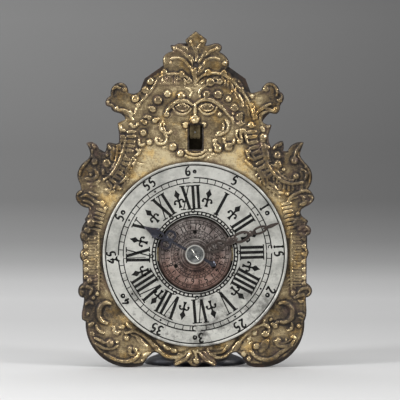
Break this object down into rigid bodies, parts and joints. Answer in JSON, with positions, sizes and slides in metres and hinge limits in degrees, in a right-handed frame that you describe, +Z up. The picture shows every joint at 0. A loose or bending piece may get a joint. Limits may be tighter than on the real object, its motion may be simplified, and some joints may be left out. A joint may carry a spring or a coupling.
{
  "type": "verge wall clock with alarm",
  "caption": "Spring wall clock with a chased sheet front, silvered chapter ring, central alarm disc, verge movement with pendulum, and a bell below.",
  "frame": {"origin": "on the surface that the clock stands on, midway between its sides and between the tip of the centre arbor and the back of the bell", "axes": "+X to the right of someone facing the dial, +Y from the dial to the back, +Z up"},
  "size_m": [0.215, 0.1115, 0.303],
  "materials": {
    "gilt_sheet": "fire-gilt chased sheet, worn, brown patina in the hollows",
    "backing_iron": "dark hammered iron",
    "silvered_ring": "silvered, matt, black wax in the engraving",
    "copper_disc": "engraved copper, dark red brown patina",
    "hand_iron": "pierced iron, brown",
    "blued_iron": "pierced iron, blued",
    "movement_brass": "cast brass, filed and smoothed",
    "movement_iron": "forged iron, oiled",
    "arbor_steel": "turned steel",
    "spring_steel": "blued spring steel",
    "bell_metal": "cast bell metal, dark, turned lines"
  },
  "bodies": {
    "case": {"front_plate": "gilt_sheet", "backing_plate": "backing_iron", "crest_rivet": "hand_iron", "chapter_ring": "silvered_ring", "chapter_ring_rivets": "silvered_ring", "movement_front_plate": "movement_brass", "movement_back_plate": "movement_brass", "movement_pillars": "movement_brass", "pillar_pins": "arbor_steel", "dial_feet": "movement_iron", "plate_studs": "arbor_steel", "bottom_potence": "movement_brass", "top_potence": "movement_brass", "verge_front_cock": "movement_brass", "back_cock": "movement_brass", "alarm_verge_cocks": "movement_iron", "bell": "bell_metal", "bell_bar": "movement_iron", "bell_stud": "movement_iron", "bell_nut": "movement_iron"},
    "centre": {"centre_arbor": "arbor_steel", "centre_wheel": "movement_brass", "hand_collet": "arbor_steel", "hand_pin": "arbor_steel"},
    "hands": {"cannon_pinion": "arbor_steel", "minute_hand": "hand_iron"},
    "hour": {"hour_wheel": "movement_brass", "hour_hand": "blued_iron"},
    "alarm_setting": {"alarm_disc": "copper_disc", "alarm_cam": "movement_iron"},
    "minute_work": {"minute_wheel": "movement_brass"},
    "third": {"third_arbor": "arbor_steel", "third_wheel": "movement_brass"},
    "contrate": {"contrate_arbor": "arbor_steel", "contrate_wheel": "movement_brass"},
    "crown": {"crown_arbor": "arbor_steel", "crown_wheel": "movement_brass"},
    "pendulum": {"verge": "arbor_steel", "pendulum_rod": "movement_iron", "pendulum_bob": "movement_brass"},
    "going_spring_barrel": {"going_barrel": "movement_brass", "going_barrel_cap": "movement_brass", "going_mainspring": "spring_steel"},
    "going_winding": {"going_barrel_arbor": "arbor_steel", "going_ratchet_wheel": "movement_iron"},
    "going_pawl": {"going_click": "movement_iron"},
    "alarm_spring_barrel": {"alarm_barrel": "movement_brass", "alarm_barrel_cap": "movement_brass", "alarm_mainspring": "spring_steel"},
    "alarm_winding": {"alarm_barrel_arbor": "arbor_steel", "alarm_ratchet_wheel": "movement_iron"},
    "alarm_pawl": {"alarm_click": "movement_iron"},
    "alarm_crown": {"alarm_crown_arbor": "arbor_steel", "alarm_crown_wheel": "movement_brass"},
    "alarm_striker": {"alarm_verge": "arbor_steel", "alarm_hammer": "movement_iron"},
    "alarm_release": {"alarm_detent": "movement_iron"}
  },
  "joints": [
    {"name": "minute_hand_turn", "type": "hinge", "parent": "case", "child": "hands", "pos_m": [0, -0.04225, 0.102], "axis": [0, 1, 0], "continuous": true},
    {"name": "crown_turn", "type": "hinge", "parent": "case", "child": "crown", "pos_m": [0, 0.00175, 0.18], "axis": [0, 0, 1], "continuous": true},
    {"name": "centre_turn", "type": "hinge", "parent": "case", "child": "centre", "pos_m": [0, -0.00325, 0.102], "axis": [0, 1, 0], "continuous": true},
    {"name": "hour_turn", "type": "hinge", "parent": "case", "child": "hour", "pos_m": [0, -0.03725, 0.102], "axis": [0, 1, 0], "continuous": true},
    {"name": "minute_wheel_turn", "type": "hinge", "parent": "case", "child": "minute_work", "pos_m": [0.00919, -0.02825, 0.09429], "axis": [0, 1, 0], "continuous": true},
    {"name": "third_turn", "type": "hinge", "parent": "case", "child": "third", "pos_m": [0.00692, -0.00325, 0.12341], "axis": [0, 1, 0], "continuous": true},
    {"name": "contrate_turn", "type": "hinge", "parent": "case", "child": "contrate", "pos_m": [0, -0.00325, 0.141], "axis": [0, 1, 0], "continuous": true},
    {"name": "going_barrel_turn", "type": "hinge", "parent": "case", "child": "going_spring_barrel", "pos_m": [-0.01626, -0.00325, 0.08394], "axis": [0, 1, 0], "continuous": true},
    {"name": "alarm_disc_turn", "type": "hinge", "parent": "hour", "child": "alarm_setting", "pos_m": [0, -0.04225, 0.102], "axis": [0, 1, 0], "continuous": true},
    {"name": "pendulum_swing", "type": "hinge", "parent": "case", "child": "pendulum", "pos_m": [0, -0.00325, 0.212], "axis": [0, 1, 0], "range_deg": [-14, 14]},
    {"name": "going_winding_turn", "type": "hinge", "parent": "case", "child": "going_winding", "pos_m": [-0.01626, 0.01775, 0.08394], "axis": [0, 1, 0], "continuous": true},
    {"name": "alarm_winding_turn", "type": "hinge", "parent": "case", "child": "alarm_winding", "pos_m": [0.022, 0.01775, 0.072], "axis": [0, 1, 0], "continuous": true},
    {"name": "going_click_swing", "type": "hinge", "parent": "case", "child": "going_pawl", "pos_m": [-0.02164, 0.01915, 0.10096], "axis": [0, 1, 0], "range_deg": [0, 12], "stiffness_Nm_per_rad": 0.02},
    {"name": "alarm_click_swing", "type": "hinge", "parent": "case", "child": "alarm_pawl", "pos_m": [0.01662, 0.01915, 0.08902], "axis": [0, 1, 0], "range_deg": [0, 12], "stiffness_Nm_per_rad": 0.02},
    {"name": "alarm_barrel_turn", "type": "hinge", "parent": "case", "child": "alarm_spring_barrel", "pos_m": [0.022, -0.00325, 0.072], "axis": [0, 1, 0], "continuous": true},
    {"name": "alarm_crown_turn", "type": "hinge", "parent": "case", "child": "alarm_crown", "pos_m": [0.0368, -0.00325, 0.07739], "axis": [0, 1, 0], "continuous": true},
    {"name": "alarm_hammer_swing", "type": "hinge", "parent": "case", "child": "alarm_striker", "pos_m": [0.0368, -0.03475, 0.06], "axis": [0, 0, 1], "range_deg": [-15, 3.5]},
    {"name": "alarm_detent_lift", "type": "hinge", "parent": "case", "child": "alarm_release", "pos_m": [0.024, -0.03675, 0.114], "axis": [0, 1, 0], "range_deg": [0, 8], "stiffness_Nm_per_rad": 0.01}
  ],
  "couplings": [
    {"joint": "hour_turn", "follows": "minute_hand_turn", "ratio": 0.083333},
    {"joint": "minute_wheel_turn", "follows": "minute_hand_turn", "ratio": -0.33333},
    {"joint": "contrate_turn", "follows": "crown_turn", "ratio": 0.16667},
    {"joint": "third_turn", "follows": "crown_turn", "ratio": -0.020833},
    {"joint": "centre_turn", "follows": "crown_turn", "ratio": 0.0023148},
    {"joint": "going_barrel_turn", "follows": "crown_turn", "ratio": -0.00028935},
    {"joint": "alarm_crown_turn", "follows": "alarm_barrel_turn", "ratio": -6}
  ]
}
